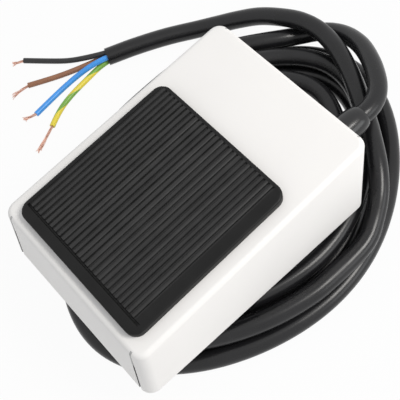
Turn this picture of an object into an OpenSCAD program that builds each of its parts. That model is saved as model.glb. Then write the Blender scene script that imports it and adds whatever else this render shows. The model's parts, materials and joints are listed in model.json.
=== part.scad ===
/* [Cover] */
// Width of the pedal cover across its sides
body_w = 76; // [72:1:90]
// Length of the pedal cover, front to back
body_l = 102; // [98:1:120]
// Height of the cover's top at the front, above the feet
front_h = 31.5; // [30:0.5:36]
// Height of the cover's top at the back, above the feet
back_h = 42.5; // [40:0.5:48]
// Outside radius of the cover's bends and corners
bend_r = 4.5; // [3:0.5:5]
// Thickness of the cover's sheet
sheet = 1.5; // [1:0.1:2]
// Height of the cover's lower edge above the feet, at rest
skirt_gap = 4; // [3.8:0.1:5]
// Distance of the corner seams from the cover's sides
seam_in = 4.7; // [4:0.1:7]
// Width of the corner seams
seam_w = 0.9; // [0.5:0.1:1.5]

/* [Tread mat] */
// Width of the tread mat
mat_w = 60.7; // [50:0.1:66]
// Length of the tread mat along the slope
mat_l = 64.9; // [50:0.1:70]
// Distance of the mat from the cover's front edge, along the slope
mat_front = 6.4; // [5:0.1:9]
// Thickness of the mat over its ribs
mat_t = 3; // [2:0.1:4]
// Radius of the mat's corners
mat_r = 4.2; // [3:0.1:6]
// Distance from one rib of the mat to the next
rib_pitch = 2.08; // [1.8:0.02:3]
// Width of a groove between two ribs
groove_w = 0.95; // [0.6:0.05:1.2]
// Depth of the grooves
groove_d = 1; // [0.5:0.1:1.5]
// Plain border at the mat's front
border_front = 3.7; // [3:0.1:6]
// Plain border at the mat's back and left side
border_thin = 1.3; // [1:0.1:2]
// Plain border at the mat's right side
border_right = 2.6; // [1.3:0.1:5]

/* [Hinge and springs] */
// Distance of the hinge axis from the cover's back
hinge_back = 11; // [10:0.5:13]
// Height of the hinge axis above the feet
hinge_z = 12; // [11:0.5:14]
// Radius of the hinge pins
pin_r = 2; // [1.5:0.1:2.5]
// Distance of the return springs from the base's sides
spring_side = 11.5; // [10.5:0.5:13.5]
// Distance of the return springs from the cover's front
spring_front = 23; // [21:0.5:25]
// Radius of the springs at the middle of the wire
coil_r = 5.2; // [5:0.1:5.5]
// Thickness of the spring wire
wire_d = 1.2; // [1:0.1:1.4]
// Turns of each spring
spring_turns = 6; // [4:1:7]
// Downward travel that the stop buffers allow at the springs
buffer_travel = 2.8; // [2.6:0.1:3.5]

/* [Base] */
// Thickness of the base plate
base_t = 1.5; // [1.2:0.1:2]
// Thickness of the rubber feet under the base plate
foot_h = 2.5; // [2:0.1:3]
// Radius of the rubber feet
foot_r = 6; // [5:0.5:7]
// Space between the cover's inside and the base, at each side
side_room = 5; // [5:0.1:6]
// Space between the cover's inside and the base, at the front
front_room = 5; // [5:0.1:6]
// Space between the cover's inside and the base, at the back
back_room = 3.5; // [3.4:0.1:4]

/* [Switch] */
// Width of the switch case
case_w = 10.3; // [10:0.1:11]
// Length of the switch case
case_l = 27.8; // [27:0.1:29]
// Height of the switch case
case_h = 15.9; // [15:0.1:16.5]
// Length of the post that reaches from the cover's roof to the switch lever
post_l = 2.93; // [2.5:0.01:3.4]
// Wall of the switch case
case_wall = 1.2; // [1:0.1:1.3]
// Thickness of the switch lid
lid_t = 1; // [0.8:0.1:1.2]
// Angle of the switch lever above level, at rest
lever_rise = 5.5; // [5:0.1:6]

/* [Cord] */
// Diameter of the cord
cord_d = 7.6; // [6:0.1:7.8]
// Diameter of one insulated core
core_d = 2.4; // [2:0.1:2.5]
// Diameter of the bare copper in a core
copper_d = 1.2; // [0.8:0.1:1.4]
// Distance of the cord from the cover's right side
cord_side = 22; // [21:0.5:24]
// Height of the cord above the feet where it leaves the base
cord_z = 14; // [13.5:0.5:15]
// Mean radius of the outer loop of the coil
loop_r = 59; // [58:0.5:61]
// Distance from one loop of the coil to the next
loop_step = 8.7; // [8.7:0.1:9.2]
// Distance from one layer of the coil to the next
layer_step = 8.4; // [8.2:0.1:9]

/* [Hidden] */

// Clearances and overruns
over = 1;
joint_gap = 0.05;
run_gap = 0.05;
free_gap = 0.3;
layer_gap = 0.1;

// Colours
paint = "WhiteSmoke";
rubber = "DimGray";
zinc = "Silver";
brass = "Goldenrod";
case_colour = "Black";
flex = "DarkSlateGray";
copper = "Peru";

// Resolution of round fits, hulls and swept tubes
fine = 48;
soft = 32;
cord_sides = 10;
core_sides = 8;
coil_sides = 6;
loop_rings = 24;
curl_rings = 8;

// Cover
tilt = atan((back_h - front_h) / body_l);
inner_x = body_w / 2 - sheet;
inner_y = body_l / 2 - sheet;
function top_z(y) = front_h + (y + body_l / 2) * tan(tilt);
function roof_z(y) = top_z(y) - sheet / cos(tilt);
seam_top = front_h - 2 * bend_r;
cover_top = top_z(body_l / 2 - bend_r) - bend_r / cos(tilt) + bend_r;
mat_top = front_h + (mat_front + mat_l) * sin(tilt) + (mat_t + joint_gap) * cos(tilt);
// Half the height of the body: the feet's underside lies this far below the origin
mid_z = max(cover_top, mat_top) / 2;

// Base plate
base_x = inner_x - side_room;
base_front = -(inner_y - front_room);
base_back = inner_y - back_room;
base_top = foot_h + base_t;
flange_top = 10;
gland_tab_top = 22;
gland_tab_w = 20;
base_ear_r = 5.5;
foot_side = 6.5;
foot_back = 6;
foot_x = base_x - foot_side;
foot_front_y = base_front + foot_side;
foot_back_y = base_back - foot_back;
foot_neck_r = 2;
foot_bulb_r = 2.8;
foot_bulb_h = 1.5;

// Hinge
hinge_y = body_l / 2 - hinge_back;
lug_t = 2.5;
lug_r = 6;
lug_top = 26;
bush_r = 3.5;
bush_flange_r = 4.5;
bush_flange_t = 0.8;
pin_head_r = 3.2;
pin_head_t = 1.5;
clip_t = 0.7;
clip_r = 3.8;
lug_outer = inner_x - joint_gap;
lug_inner = lug_outer - lug_t;
pin_end = lug_outer - free_gap;

// Springs, cups and stop buffers
spring_x = base_x - spring_side;
spring_y = body_l / 2 - spring_front;
cup_wall = 1;
cup_skirt = 3;
cup_room = 1;
cup_seat_z = 24.3;
cup_r = coil_r + wire_d / 2 + cup_room + cup_wall;
buffer_r = 3.5;
buffer_top = cup_seat_z - buffer_travel;

// Front catch that holds the cover down on the base
catch_w = 20;
catch_reach = 4;
catch_t = 1.5;
catch_z = 6;
hook_w = 16;
hook_t = 1.5;
hook_reach = 5;
hook_foot = 6;
hook_y = base_front + front_room / 2;

// Actuator post, and the switch hung from it
post_y = -8;
post_r = 2;
post_flange_r = 4.5;
post_flange_t = 1;
post_gap = 0.37;
post_bottom = roof_z(post_y) - post_l;
lever_pin_y = 12;
lever_drop = 0.7;
lever_t = 0.5;
lever_pin_z = post_bottom - post_gap - (lever_pin_y - post_y) * tan(lever_rise) - lever_t + lever_drop;
pin_up = 1.7;
case_top = lever_pin_z - pin_up;
case_z = case_top - case_h;

// Switch, in its own outline
hole_span_y = 22.2;
hole_low = 2.8;
hole_span_z = 10.3;
screw_r = 1.5;
boss_r = 2.5;
case_half = case_w / 2;
lid_x = case_half - lid_t;
lever_pin_r = 0.6;
ear_r = 1.3;
ear_in = 3.1;
ear_out = 4;
lever_half = 2.4;
eye_r = 1.2;
eye_half = 2.9;
lever_l = 25;
plunger_y = 4;
plunger_r = 1.2;
plunger_gap = 0.25;
plunger_top = lever_pin_z - plunger_gap;
collar_r = 1.9;
collar_t = 1;
blade_y = -8;
blade_l = 17;
blade_half = 1.8;
blade_t = 0.4;
blade_up = 8;
blade_z = case_z + blade_up;
contact_y = 7;
contact_r = 1.2;
contact_t = 0.6;
plunger_lift = 0.2;
terminal_t = 0.8;
terminal_w = 4;
terminal_gap = 6.3;
terminal_room = 1.5;
terminal_bottom = base_top + terminal_room;
common_top = blade_z - blade_t / 2 - free_gap;
open_h = 1.8;
shut_h = 1.1;
shut_x = 3.3;
shut_in = 2.2;

// Bracket, rivets and screws
bracket_t = 1.5;
bracket_foot = 9.3;
bracket_x = case_half + joint_gap;
rivet_x = -12;
rivet_y = 9;
rivet_r = 1.5;
rivet_head_r = 2.6;
rivet_head_t = 1.2;
rivet_tail_t = 0.8;
head_r = 2.8;
head_t = 1.7;
nut_r = 3.1;
nut_t = 2.2;
drive_w = 0.7;
drive_d = 0.8;

// Strain relief, clamp and earth point
gland_hole_r = 6;
gland_flange_r = 7.2;
gland_flange_t = 2.2;
boot_l = 25;
boot_nose = 4;
boot_r = 6.3;
boot_shoulder_r = 5.6;
boot_tip_r = 4.6;
boot_end = base_back + boot_l;
notch_r = 7.2;
cord_x = body_w / 2 - cord_side;
clamp_back = 13;
clamp_y = base_back - clamp_back;
clamp_w = 17;
clamp_l = 6;
clamp_h = 6;
clamp_split = 0.2;
clamp_screw_x = 6.2;
clamp_screw_end = 6;
sheath_in = 20;
sheath_end = base_back - sheath_in;
earth_side = 7.5;
earth_x = base_x - earth_side;
earth_y = 4;
earth_r = 1.9;
earth_head_r = 3.2;
earth_head_t = 2;
tag_r = 4.2;
tag_t = 0.8;
barrel_r = 1.7;
barrel_l = 4;
barrel_y = 8;

// Coil: two layers, spiralling in on the floor and out again under the body
cord_r = cord_d / 2;
core_r = core_d / 2;
copper_r = copper_d / 2;
flat_cut = cord_d / 10;
upper_z = -free_gap - cord_r;
lower_z = upper_z - layer_step;
floor_z = lower_z - cord_r + flat_cut;
rest_z = floor_z + cord_r + layer_gap;
turns_in = 3.667;
turns = 6.5;
climb_half = 0.25;
ease_in = 0.25;
centre_x = -4.2;
centre_y = 26.6;
stretch_y = 20;
lean_x = 7;
fan_share = 0.1;
round_share = 0.6;
function ease(t) = let (c = min(max(t, 0), 1)) c * c * (3 - 2 * c);
function loop_point(t) =
    let (
        a = 180 + 360 * t,
        s = sin(a),
        wound = t < turns_in ? t : 2 * turns_in - t,
        r = loop_r - wound * loop_step * (1 + fan_share * pow(max(0, s), 2)),
        climb = ease((t - turns_in + climb_half) / (2 * climb_half)),
        settle = ease(t / ease_in),
        oval = (s + pow(s, 3)) / 2 * (1 - round_share * pow(wound / turns_in, 3))
    )
    [centre_x + r * cos(a) - lean_x * oval,
     centre_y + r * s + stretch_y * oval,
     rest_z + (lower_z - rest_z) * settle + (upper_z - lower_z) * climb];
coil_steps = ceil(turns * loop_rings);
coil_core = [for (i = [0:coil_steps]) loop_point(turns * i / coil_steps)];
function unit(v) = v / norm(v);
coil_in_dir = unit(coil_core[1] - coil_core[0]);
coil_out_dir = unit(coil_core[coil_steps] - coil_core[coil_steps - 1]);
coil_in = coil_core[0] - cord_d * coil_in_dir;
coil_out = coil_core[coil_steps] + cord_d * coil_out_dir;
coil_path = concat([coil_in], coil_core, [coil_out]);
coil_gap = min([for (i = [0:coil_steps - loop_rings / 2]) for (j = [i + loop_rings / 2:coil_steps])
    norm(coil_core[i] - coil_core[j])]) - cord_d;
echo(coil_least_gap = coil_gap);

// Routes of the cord's free stretches, above the feet's underside
lead_route = [[14.6, 79.9, 13.5], [11.2, 85.1, 12.5], [5.4, 90.4, 10.8], [-2.2, 95.6, 8.3],
              [-10.8, 99.9, 4.9], [-19.4, 101.9, 0.9], [-26.7, 101.3, -2.6], [-32.4, 98, -5],
              [-36.4, 92.6, -5.6], [-40, 85.8, -4.7], [-44.9, 78.2, -4.4], [-50, 70.4, -4.6],
              [-55, 62, -5.4], [-59.6, 53, -7.8], [-62.7, 44, -10.4]];
tail_route = [[46.6, 42, -4], [43.2, 50, -2.8], [37.6, 58.4, 0.8], [30.6, 65, 3.4], [23, 70.6, 4.5],
              [16, 75.4, 4.8], [8.9, 79.8, 4.8], [1.6, 84.2, 4.8], [-6.8, 88.4, 4.9],
              [-16.6, 92.2, 4.8], [-27, 94, 4.4], [-36.6, 93, 3.2], [-46, 90, 0.4], [-54.6, 86, -2.9],
              [-62, 80.4, -6.5], [-68.6, 74, -9.8], [-74, 67.2, -11.6], [-80.6, 55.4, -11.6],
              [-86.6, 42, -11.6], [-91, 30, -11.6]];
lead_start = [cord_x, boot_end, cord_z];
lead_path = concat([lead_start, lead_start + [0, cord_r, 0]], lead_route,
                   [coil_in - cord_r * coil_in_dir, coil_in]);
tail_path = concat([coil_out, coil_out + cord_r * coil_out_dir], tail_route);

// Cores: where each leaves the sheath, and its route
core_off = 1.3;
core_run = 3;
cut_end = tail_path[len(tail_path) - 1];
cut_dir = unit(cut_end - tail_path[len(tail_path) - 2]);
cut_side = [cut_dir[1], -cut_dir[0], 0];
function cut_start(side, up) = cut_end + core_off * (side * cut_side + [0, 0, up]);
function core_path(side, up, route) =
    concat([cut_start(side, up), cut_start(side, up) + core_run * cut_dir], route);
black_path = core_path(1, 1, [[-97.5, 23, -11.4], [-101.5, 18.5, -13.2], [-108, 13, -14.2],
                              [-117.9, 3.7, -14.2]]);
brown_path = core_path(1, -1, [[-96, 20.5, -13.9], [-99, 12, -14.2], [-102.5, 4, -14.2],
                               [-105.7, -2.8, -14.2]]);
blue_path = core_path(-1, 1, [[-92.9, 19.5, -12], [-93.8, 10, -14], [-92.6, 0, -14.2],
                              [-91.2, -9, -14.2]]);
green_path = core_path(-1, -1, [[-89.8, 20, -13.8], [-88.8, 10, -14.2], [-86, 0, -14.2],
                                [-81.5, -7.7, -14.2]]);
function last(path) = path[len(path) - 1];

// Inner leads: where each leaves the cord, and its route as shares of the way to its terminal
function inner_path(side, up, end, route_shares) =
    let (
        p = [cord_x + side * core_off, sheath_end, cord_z + up * core_off],
        q = p - [0, core_run, 0],
        way = end - q
    )
    concat([p, q], [for (c = route_shares) q + [c[0] * way[0], c[1] * way[1], c[2] * way[2]]], [end]);
black_shares = [[0.08, 0.36, 0.4], [0.33, 0.75, 0.83], [0.68, 1, 1]];
blue_shares = [[0, 0.3, 0.76], [0.12, 0.7, 1], [0.4, 0.96, 1], [0.72, 1, 1]];
brown_shares = [[0, 0.375, 0.49], [0.02, 0.68, 0.93], [0.26, 0.92, 1], [0.61, 1, 1]];
green_shares = [[0.25, 0.38, 0.41], [0.7, 0.82, 0.83]];
function terminal_end(y) = [terminal_t / 2 + joint_gap, y, (case_z + terminal_bottom) / 2];
tag_end = [earth_x, barrel_y + barrel_l + joint_gap, base_top + joint_gap + tag_t + core_r];

// Ring of points round a path, level side and up vectors
function side_of(d) = unit([d[1], -d[0], 0]);
function ring(p, d, r, sides) =
    let (s = side_of(d), u = cross(s, d))
    [for (k = [0:sides - 1]) p + r * (cos(360 * k / sides) * s + sin(360 * k / sides) * u)];
function dir_at(path, i) =
    i == 0 ? unit(path[1] - path[0])
    : i == len(path) - 1 ? unit(path[i] - path[i - 1])
    : unit(unit(path[i + 1] - path[i]) + unit(path[i] - path[i - 1]));
function lifted(p, low) = [p[0], p[1], max(p[2], low)];

// Tube swept along a path, its points kept above a floor
module swept_tube(path, r, sides, low) {
    n = len(path);
    points = [for (i = [0:n - 1]) for (p = ring(path[i], dir_at(path, i), r, sides)) lifted(p, low)];
    walls = [for (i = [0:n - 2]) for (k = [0:sides - 1])
        let (a = i * sides + k, b = i * sides + (k + 1) % sides)
        each [[a, b, b + sides], [a, b + sides, a + sides]]];
    start_cap = [for (k = [1:sides - 2]) [0, k + 1, k]];
    end_cap = [for (k = [1:sides - 2]) [(n - 1) * sides, (n - 1) * sides + k, (n - 1) * sides + k + 1]];
    polyhedron(points = points, faces = concat(walls, start_cap, end_cap), convexity = 10);
}

// From heights above the feet to the part's frame
module placed() {
    translate([0, 0, -mid_z]) children();
}

// Frame on the cover's sloping top: Y up the slope from the front edge, Z off the surface
module on_slope() {
    translate([0, -body_l / 2, front_h]) rotate([tilt, 0, 0]) children();
}

// Everything above the cover's inside roof
module above_roof() {
    on_slope() translate([-body_w, -body_l, -sheet - joint_gap]) cube([2 * body_w, 3 * body_l, body_l]);
}

module rod_x(x0, x1, y, z, r, sides = fine) {
    translate([x0, y, z]) rotate([0, 90, 0]) cylinder(h = x1 - x0, r = r, $fn = sides);
}

module rod_y(y0, y1, x, z, r, r2 = 0) {
    translate([x, y0, z]) rotate([-90, 0, 0])
        cylinder(h = y1 - y0, r1 = r, r2 = r2 > 0 ? r2 : r, $fn = fine);
}

module rod_z(z0, z1, x, y, r) {
    translate([x, y, z0]) cylinder(h = z1 - z0, r = r, $fn = fine);
}

module box(x0, x1, y0, y1, z0, z1) {
    translate([x0, y0, z0]) cube([x1 - x0, y1 - y0, z1 - z0]);
}

module both_sides() {
    for (side = [0, 1]) mirror([side, 0, 0]) children();
}

// Closed block with the cover's rounded outline
module cover_block(r, bottom) {
    hull() {
        for (x = [-1, 1] * (body_w / 2 - bend_r)) for (y = [-1, 1] * (body_l / 2 - bend_r)) {
            translate([x, y, top_z(y) - bend_r / cos(tilt)]) sphere(r, $fn = soft);
            translate([x, y, bottom]) cylinder(h = over, r = r, $fn = soft);
        }
    }
}

module pedal_cover() {
    color(paint) placed() difference() {
        cover_block(bend_r, skirt_gap);
        cover_block(bend_r - sheet, skirt_gap - over);
        for (x = [-1, 1] * (body_w / 2 - seam_in)) for (y = [-1, 1] * (body_l / 2 - sheet / 2))
            box(x - seam_w / 2, x + seam_w / 2, y - sheet, y + sheet, skirt_gap - over, seam_top);
        rod_y(inner_y - over, body_l / 2 + over, cord_x, cord_z, notch_r);
        box(cord_x - notch_r, cord_x + notch_r, inner_y - over, body_l / 2 + over,
            skirt_gap - over, cord_z);
    }
}

// Flat outline with rounded corners, from its left front corner
module rounded_outline(w, l, r) {
    translate([r, 0]) square([w - 2 * r, l]);
    translate([0, r]) square([w, l - 2 * r]);
    for (x = [r, w - r]) for (y = [r, l - r]) translate([x, y]) circle(r, $fn = fine);
}

module tread_mat() {
    ribbed_w = mat_w - border_thin - border_right;
    grooves = floor((ribbed_w - groove_w) / rib_pitch) + 1;
    groove_l = mat_l - border_front - border_thin;
    color(rubber) placed() on_slope() translate([-mat_w / 2, mat_front, joint_gap]) difference() {
        linear_extrude(mat_t) rounded_outline(mat_w, mat_l, mat_r);
        for (i = [0:grooves - 1]) translate([border_thin + i * rib_pitch, border_front, mat_t - groove_d])
            cube([groove_w, groove_l, groove_d + over]);
        translate([border_thin, border_front, mat_t - groove_d])
            cube([ribbed_w, groove_w, groove_d + over]);
    }
}

// Plates inside the cover's sides that carry the hinge bushes
module hinge_lugs() {
    color(zinc) placed() both_sides() difference() {
        union() {
            rod_x(lug_inner, lug_outer, hinge_y, hinge_z, lug_r);
            box(lug_inner, lug_outer, hinge_y - lug_r, hinge_y + lug_r, hinge_z, lug_top);
        }
        rod_x(lug_inner - over, lug_outer + over, hinge_y, hinge_z, bush_r + joint_gap);
    }
}

module hinge_bushes() {
    color(brass) placed() both_sides() difference() {
        union() {
            rod_x(lug_inner - joint_gap, lug_outer, hinge_y, hinge_z, bush_r);
            rod_x(lug_inner - joint_gap - bush_flange_t, lug_inner - joint_gap, hinge_y, hinge_z,
                  bush_flange_r);
        }
        rod_x(lug_inner - bush_flange_t - over, lug_outer + over, hinge_y, hinge_z, pin_r + run_gap);
    }
}

// Cups under the cover's roof that hold the tops of the springs
module spring_cups() {
    color(zinc) placed() both_sides() difference() {
        rod_z(cup_seat_z - cup_skirt, front_h + body_l * tan(tilt), spring_x, -spring_y, cup_r);
        rod_z(cup_seat_z - cup_skirt - over, cup_seat_z, spring_x, -spring_y, cup_r - cup_wall);
        above_roof();
    }
}

// Post under the roof that presses the switch lever
module actuator_post() {
    color(zinc) placed() difference() {
        union() {
            rod_z(post_bottom, top_z(post_y), 0, post_y, post_r);
            rod_z(roof_z(post_y - post_flange_r) - post_flange_t, top_z(post_y), 0, post_y, post_flange_r);
        }
        above_roof();
    }
}

// Lip inside the cover's front that the stop hook holds down
module catch_lip() {
    color(zinc) placed()
        box(-catch_w / 2, catch_w / 2, -inner_y + joint_gap, -inner_y + catch_reach, catch_z,
            catch_z + catch_t);
}

module base_plate() {
    wall_x = base_x - base_t;
    color(zinc) placed() difference() {
        union() {
            box(-base_x, base_x, base_front, base_back, foot_h, base_top);
            both_sides() {
                box(wall_x, base_x, base_front, base_back, foot_h, flange_top);
                rod_x(wall_x, base_x, hinge_y, hinge_z, base_ear_r);
            }
            box(-base_x, base_x, base_back - base_t, base_back, foot_h, flange_top);
            box(cord_x - gland_tab_w / 2, cord_x + gland_tab_w / 2, base_back - base_t, base_back,
                foot_h, gland_tab_top);
        }
        both_sides() {
            rod_x(wall_x - over, base_x + over, hinge_y, hinge_z, pin_r + joint_gap);
            for (y = [foot_front_y, foot_back_y])
                rod_z(foot_h - over, base_top + over, foot_x, y, foot_neck_r + joint_gap);
        }
        rod_y(base_back - base_t - over, base_back + over, cord_x, cord_z, gland_hole_r);
        for (y = [-1, 1] * rivet_y) rod_z(foot_h - over, base_top + over, rivet_x, y, rivet_r + joint_gap);
        rod_z(foot_h - over, base_top + over, earth_x, earth_y, earth_r + joint_gap);
    }
}

// Hook on the base whose tab lies over the cover's lip
module stop_hook() {
    tab_z = catch_z + catch_t + free_gap;
    color(zinc) placed() {
        box(-hook_w / 2, hook_w / 2, hook_y, hook_y + hook_foot, base_top + joint_gap,
            base_top + joint_gap + hook_t);
        box(-hook_w / 2, hook_w / 2, hook_y, hook_y + hook_t, base_top + joint_gap, tab_z + hook_t);
        box(-hook_w / 2, hook_w / 2, hook_y - hook_reach, hook_y + hook_t, tab_z, tab_z + hook_t);
    }
}

module hinge_pins() {
    head_x = base_x - base_t - joint_gap;
    color(zinc) placed() both_sides() difference() {
        union() {
            rod_x(head_x - pin_head_t, head_x, hinge_y, hinge_z, pin_head_r);
            rod_x(head_x, pin_end, hinge_y, hinge_z, pin_r);
        }
        difference() {
            rod_x(base_x + joint_gap, base_x + joint_gap + clip_t, hinge_y, hinge_z, pin_r + over);
            rod_x(base_x, base_x + 2 * clip_t, hinge_y, hinge_z, pin_r - clip_t / 2);
        }
    }
}

// Spring clips in the pins' grooves, outside the base
module pin_clips() {
    inset = joint_gap / 2;
    color(zinc) placed() both_sides() difference() {
        rod_x(base_x + joint_gap + inset, base_x + joint_gap + clip_t - inset, hinge_y, hinge_z, clip_r);
        rod_x(base_x, base_x + 2 * clip_t, hinge_y, hinge_z, pin_r - clip_t / 2 + joint_gap);
        box(base_x, base_x + 2 * clip_t, hinge_y - pin_r + clip_t / 2, hinge_y + pin_r - clip_t / 2,
            hinge_z - clip_r - over, hinge_z);
    }
}

// Rubber buffers inside the springs that end the cover's travel
module stop_buffers() {
    color(rubber) placed() both_sides()
        rod_z(base_top + joint_gap, buffer_top, spring_x, -spring_y, buffer_r);
}

// Compression spring between the base and a cup
module return_spring(side) {
    bottom = base_top + wire_d / 2 + 2 * joint_gap;
    top = cup_seat_z - wire_d / 2 - 2 * joint_gap;
    steps = spring_turns * curl_rings;
    path = [for (i = [0:steps]) [side * spring_x + coil_r * cos(360 * i / curl_rings),
                                 -spring_y + coil_r * sin(360 * i / curl_rings),
                                 bottom + (top - bottom) * i / steps]];
    color(zinc) placed() swept_tube(path, wire_d / 2, coil_sides, base_top);
}

module return_spring_left() {
    return_spring(-1);
}

module return_spring_right() {
    return_spring(1);
}

// Push-in feet with a bulb above the base plate
module rubber_feet() {
    color(rubber) placed() both_sides() for (y = [foot_front_y, foot_back_y]) {
        rod_z(0, foot_h - joint_gap, foot_x, y, foot_r);
        rod_z(0, base_top + foot_bulb_h, foot_x, y, foot_neck_r);
        rod_z(base_top + joint_gap, base_top + foot_bulb_h, foot_x, y, foot_bulb_r);
    }
}

// Places of the two mounting screws of the switch
module switch_holes() {
    translate([0, hole_span_y / 2, case_z + hole_low]) children();
    translate([0, -hole_span_y / 2, case_z + hole_low + hole_span_z]) children();
}

module switch_bracket() {
    plate_x = -bracket_x - bracket_t;
    color(zinc) placed() difference() {
        union() {
            box(plate_x, -bracket_x, -case_l / 2, case_l / 2, base_top + joint_gap, case_top);
            box(plate_x - bracket_foot, -bracket_x, -case_l / 2, case_l / 2, base_top + joint_gap,
                base_top + joint_gap + bracket_t);
        }
        switch_holes() rod_x(plate_x - over, -bracket_x + over, 0, 0, screw_r + joint_gap);
        for (y = [-1, 1] * rivet_y) rod_z(foot_h, case_z, rivet_x, y, rivet_r + joint_gap);
    }
}

module bracket_rivets() {
    head_z = base_top + bracket_t + 2 * joint_gap;
    color(zinc) placed() for (y = [-1, 1] * rivet_y) {
        rod_z(foot_h - joint_gap, head_z, rivet_x, y, rivet_r);
        rod_z(head_z, head_z + rivet_head_t, rivet_x, y, rivet_head_r);
        rod_z(foot_h - joint_gap - rivet_tail_t, foot_h - joint_gap, rivet_x, y, rivet_head_r);
    }
}

module switch_case() {
    inside_y = case_l / 2 - case_wall;
    color(case_colour) placed() difference() {
        union() {
            difference() {
                box(-case_half, lid_x - joint_gap, -case_l / 2, case_l / 2, case_z, case_top);
                box(-case_half + case_wall, case_half, -inside_y, inside_y, case_z + case_wall,
                    case_top - case_wall);
            }
            switch_holes() rod_x(-case_half, lid_x - joint_gap, 0, 0, boss_r);
            both_sides() {
                rod_x(ear_in, ear_out, lever_pin_y, lever_pin_z, ear_r);
                box(ear_in, ear_out, lever_pin_y - ear_r, lever_pin_y + ear_r, case_top - joint_gap,
                    lever_pin_z);
            }
        }
        switch_holes() rod_x(-case_half - over, case_half + over, 0, 0, screw_r + joint_gap);
        rod_x(-ear_out - over, ear_out + over, lever_pin_y, lever_pin_z, lever_pin_r + run_gap);
        rod_z(case_top - case_wall - over, case_top + over, 0, plunger_y, plunger_r + run_gap);
        for (y = [-1, 0, 1] * terminal_gap) box(-terminal_t / 2 - joint_gap, terminal_t / 2 + joint_gap,
            y - terminal_w / 2 - joint_gap, y + terminal_w / 2 + joint_gap, case_z - over,
            case_z + case_wall + joint_gap);
    }
}

module switch_lid() {
    color(case_colour) placed() difference() {
        box(lid_x, case_half, -case_l / 2, case_l / 2, case_z, case_top);
        switch_holes() rod_x(lid_x - over, case_half + over, 0, 0, screw_r + joint_gap);
    }
}

module switch_plunger() {
    bottom = blade_z + blade_t / 2 + plunger_lift;
    collar_top = case_top - case_wall - free_gap;
    color("Firebrick") placed() {
        rod_z(bottom, plunger_top, 0, plunger_y, plunger_r);
        rod_z(collar_top - collar_t, collar_top, 0, plunger_y, collar_r);
    }
}

module switch_lever() {
    color(zinc) placed() translate([0, lever_pin_y, lever_pin_z]) rotate([-lever_rise, 0, 0])
        difference() {
            union() {
                rod_x(-eye_half, eye_half, 0, 0, eye_r);
                box(-lever_half, lever_half, -lever_l, 0, -lever_drop, -lever_drop + lever_t);
            }
            rod_x(-eye_half - over, eye_half + over, 0, 0, lever_pin_r + run_gap);
        }
}

module lever_pin() {
    color(zinc) placed() rod_x(-ear_out, ear_out, lever_pin_y, lever_pin_z, lever_pin_r);
}

// Moving contact under the plunger
module contact_blade() {
    color(brass) placed() {
        box(-blade_half, blade_half, blade_y, blade_y + blade_l, blade_z - blade_t / 2,
            blade_z + blade_t / 2);
        rod_z(blade_z - blade_t / 2 - contact_t, blade_z + blade_t / 2 + contact_t, 0, contact_y,
              contact_r);
    }
}

module terminal_strip(y, top) {
    box(-terminal_t / 2, terminal_t / 2, y - terminal_w / 2, y + terminal_w / 2,
        terminal_bottom, top);
}

// Common, normally shut and normally open terminals with their contacts
module switch_terminals() {
    strip_x = -shut_x - terminal_t / 2;
    shut_z = blade_z + shut_h;
    cross_z = case_z + case_wall + joint_gap;
    open_top = blade_z - open_h;
    color(brass) placed() {
        terminal_strip(-terminal_gap, common_top);
        terminal_strip(terminal_gap, open_top);
        rod_z(open_top - contact_t, open_top, 0, contact_y, contact_r);
        terminal_strip(0, cross_z + terminal_t);
        box(strip_x, terminal_t / 2, -terminal_w / 2, terminal_w / 2, cross_z, cross_z + terminal_t);
        box(strip_x, strip_x + terminal_t, -terminal_w / 2, terminal_w / 2, cross_z,
            shut_z + terminal_t);
        box(strip_x, -shut_in, -terminal_w / 2, contact_y + contact_r, shut_z, shut_z + terminal_t);
        box(strip_x, contact_r, contact_y - terminal_t, contact_y + contact_r, shut_z,
            shut_z + terminal_t);
    }
}

module switch_screws() {
    end_x = -bracket_x - bracket_t - nut_t - 2 * joint_gap;
    head_x = case_half + joint_gap;
    color(zinc) placed() switch_holes() difference() {
        union() {
            rod_x(end_x, head_x, 0, 0, screw_r);
            rod_x(head_x, head_x + head_t, 0, 0, head_r);
        }
        box(head_x + head_t - drive_d, head_x + head_t + over, -head_r - over, head_r + over,
            -drive_w / 2, drive_w / 2);
    }
}

module switch_nuts() {
    nut_x = -bracket_x - bracket_t - joint_gap;
    color(zinc) placed() switch_holes() difference() {
        rod_x(nut_x - nut_t, nut_x, 0, 0, nut_r, 6);
        rod_x(nut_x - nut_t - over, nut_x + over, 0, 0, screw_r + joint_gap);
    }
}

// Moulded bushing in the base's back tab, with a tapered boot outside
module strain_relief() {
    inner_face = base_back - base_t - joint_gap;
    outer_face = base_back + joint_gap;
    shoulder_y = boot_end - boot_nose;
    color(case_colour) placed() difference() {
        union() {
            rod_y(inner_face - gland_flange_t, inner_face, cord_x, cord_z, gland_flange_r);
            rod_y(inner_face - over, outer_face + over, cord_x, cord_z, gland_hole_r - joint_gap);
            rod_y(outer_face, outer_face + gland_flange_t, cord_x, cord_z, gland_flange_r);
            rod_y(outer_face + gland_flange_t, shoulder_y, cord_x, cord_z, boot_r, boot_shoulder_r);
            rod_y(shoulder_y, boot_end, cord_x, cord_z, boot_shoulder_r, boot_tip_r);
        }
        rod_y(inner_face - gland_flange_t - over, boot_end + over, cord_x, cord_z, cord_r + joint_gap);
    }
}

// Screw places of the cord clamp
module clamp_screw_places() {
    for (x = [-1, 1] * clamp_screw_x) translate([cord_x + x, clamp_y, 0]) children();
}

module clamp_half(bottom, top) {
    difference() {
        box(cord_x - clamp_w / 2, cord_x + clamp_w / 2, clamp_y - clamp_l / 2, clamp_y + clamp_l / 2,
            bottom, top);
        rod_y(clamp_y - clamp_l, clamp_y + clamp_l, cord_x, cord_z, cord_r + joint_gap);
        clamp_screw_places() rod_z(bottom - over, top + over, 0, 0, screw_r + joint_gap);
    }
}

module clamp_block() {
    color(case_colour) placed() clamp_half(base_top + joint_gap, cord_z - clamp_split);
}

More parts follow.
